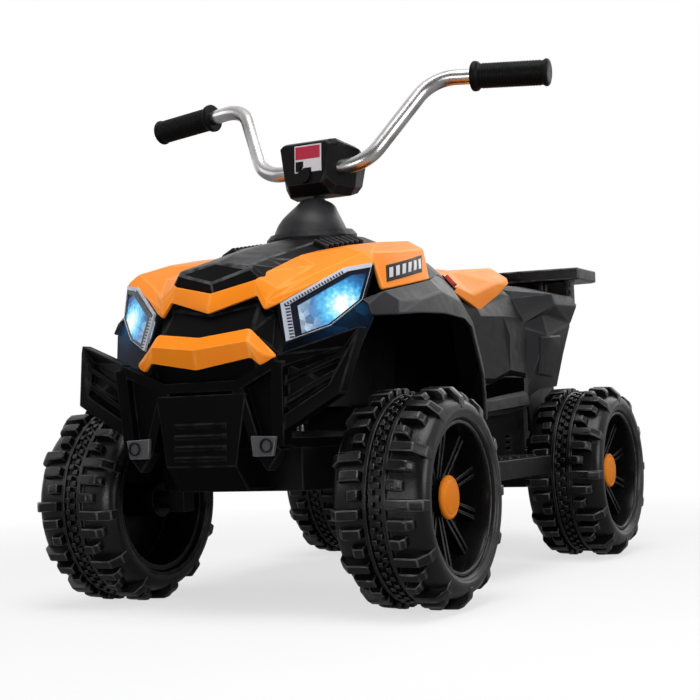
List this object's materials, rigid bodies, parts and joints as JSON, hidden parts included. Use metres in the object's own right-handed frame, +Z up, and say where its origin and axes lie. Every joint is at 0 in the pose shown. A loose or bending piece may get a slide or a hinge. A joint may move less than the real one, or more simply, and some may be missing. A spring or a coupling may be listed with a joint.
{
  "type": "kids quad bike",
  "caption": "Child's battery quad bike with an orange cowl and saddle, dark body panels, lugged wheels, a front bumper, a chrome handlebar and a rear rack.",
  "frame": {"origin": "on the ground under the middle of the bike's bounding box", "axes": "+X is the rider's left, the nose points along -Y and +Z is up"},
  "size_m": [0.4834, 0.702, 0.5365],
  "materials": {
    "orange_plastic": "glossy moulded orange plastic",
    "black_plastic": "satin black moulded plastic with a fine grain",
    "dark_grey_plastic": "satin dark grey moulded plastic",
    "tyre_plastic": "matt black blow-moulded tyre",
    "rim_plastic": "satin black rim",
    "chrome_tube": "polished chrome tube",
    "grip_rubber": "matt black grip",
    "clear_lens": "clear lens",
    "lamp_white": "white light source in a pale reflector",
    "red_plastic": "glossy red-orange rocker",
    "steel": "plain steel",
    "gear_plastic": "off-white nylon gear"
  },
  "bodies": {
    "chassis": {"chassis_tub": "dark_grey_plastic", "front_frame": "black_plastic", "front_axle_beam": "black_plastic", "rear_axle_beam": "black_plastic", "rear_axle": "steel", "main_body": "dark_grey_plastic", "rear_body": "dark_grey_plastic", "front_cowl": "orange_plastic", "hood_block": "dark_grey_plastic", "nose_grille": "black_plastic", "nose_trim": "orange_plastic", "bumper_frame": "black_plastic", "skid_plate": "black_plastic", "front_arch_left": "dark_grey_plastic", "front_arch_right": "dark_grey_plastic", "headlight_housing_left": "black_plastic", "headlight_housing_right": "black_plastic", "headlight_lens_left": "clear_lens", "headlight_lens_right": "clear_lens", "headlight_leds": "lamp_white", "seat": "orange_plastic", "rear_rack": "black_plastic", "footboard_left": "black_plastic", "footboard_right": "black_plastic", "steering_boot": "dark_grey_plastic", "column_bush": "black_plastic", "battery": "black_plastic", "gearbox_case": "black_plastic", "drive_motor": "steel", "switch_frame": "black_plastic", "axle_nuts_rear": "steel", "body_screws": "steel"},
    "steering": {"steering_column": "steel", "handlebar": "chrome_tube", "grip_left": "grip_rubber", "grip_right": "grip_rubber", "console_front": "dark_grey_plastic", "console_back": "dark_grey_plastic"},
    "horn_button": {"horn_button": "black_plastic"},
    "knuckle_left": {"knuckle_left": "steel", "axle_nut_left": "steel"},
    "knuckle_right": {"knuckle_right": "steel", "axle_nut_right": "steel"},
    "tie_rod": {"tie_rod": "steel"},
    "foot_pedal": {"foot_pedal": "black_plastic"},
    "rocker_switch": {"rocker_switch": "red_plastic"},
    "motor_pinion": {"motor_pinion": "gear_plastic"},
    "wheel_front_left": {"tyre_front_left": "tyre_plastic", "rim_front_left": "rim_plastic", "hub_cap_front_left": "orange_plastic"},
    "wheel_front_right": {"tyre_front_right": "tyre_plastic", "rim_front_right": "rim_plastic", "hub_cap_front_right": "orange_plastic"},
    "wheel_rear_left": {"tyre_rear_left": "tyre_plastic", "rim_rear_left": "rim_plastic", "hub_cap_rear_left": "orange_plastic"},
    "wheel_rear_right": {"tyre_rear_right": "tyre_plastic", "rim_rear_right": "rim_plastic", "hub_cap_rear_right": "orange_plastic", "drive_gear": "gear_plastic"}
  },
  "joints": [
    {"name": "steering", "type": "hinge", "parent": "chassis", "child": "steering", "pos_m": [0, -0.15071, 0.3], "axis": [0, 0.3687, 0.9296], "range_deg": [-25, 25]},
    {"name": "knuckle_left", "type": "hinge", "parent": "chassis", "child": "knuckle_left", "pos_m": [0.1, -0.234, 0.1], "axis": [0, 0, 1], "range_deg": [-25, 25]},
    {"name": "knuckle_right", "type": "hinge", "parent": "chassis", "child": "knuckle_right", "pos_m": [-0.1, -0.234, 0.1], "axis": [0, 0, 1], "range_deg": [-25, 25]},
    {"name": "tie_rod", "type": "hinge", "parent": "knuckle_left", "child": "tie_rod", "pos_m": [0.1, -0.1959, 0.1602], "axis": [0, 0, 1], "range_deg": [-25, 25]},
    {"name": "wheel_front_left", "type": "hinge", "parent": "knuckle_left", "child": "wheel_front_left", "pos_m": [0.163, -0.234, 0.1], "axis": [1, 0, 0], "continuous": true},
    {"name": "wheel_front_right", "type": "hinge", "parent": "knuckle_right", "child": "wheel_front_right", "pos_m": [-0.163, -0.234, 0.1], "axis": [1, 0, 0], "continuous": true},
    {"name": "wheel_rear_left", "type": "hinge", "parent": "chassis", "child": "wheel_rear_left", "pos_m": [0.163, 0.234, 0.1], "axis": [1, 0, 0], "continuous": true},
    {"name": "wheel_rear_right", "type": "hinge", "parent": "chassis", "child": "wheel_rear_right", "pos_m": [-0.163, 0.234, 0.1], "axis": [1, 0, 0], "continuous": true},
    {"name": "motor_pinion", "type": "hinge", "parent": "chassis", "child": "motor_pinion", "pos_m": [-0.1, 0.26783, 0.11231], "axis": [1, 0, 0], "continuous": true},
    {"name": "foot_pedal", "type": "hinge", "parent": "chassis", "child": "foot_pedal", "pos_m": [-0.137, 0.058, 0.135], "axis": [1, 0, 0], "range_deg": [0, 11], "stiffness_Nm_per_rad": 0.6},
    {"name": "rocker_switch", "type": "hinge", "parent": "chassis", "child": "rocker_switch", "pos_m": [0.11134, -0.03628, 0.31243], "axis": [-0.6112, -0.1783, 0.7711], "range_deg": [-10, 10]},
    {"name": "horn_button", "type": "slide", "parent": "steering", "child": "horn_button", "axis": [0, 0.9987, -0.0502], "range_m": [0, 0.0025], "stiffness_N_per_m": 60}
  ],
  "couplings": [
    {"joint": "knuckle_left", "follows": "steering", "ratio": 1},
    {"joint": "knuckle_right", "follows": "steering", "ratio": 1},
    {"joint": "tie_rod", "follows": "steering", "ratio": -1},
    {"joint": "motor_pinion", "follows": "wheel_rear_right", "ratio": -3}
  ]
}
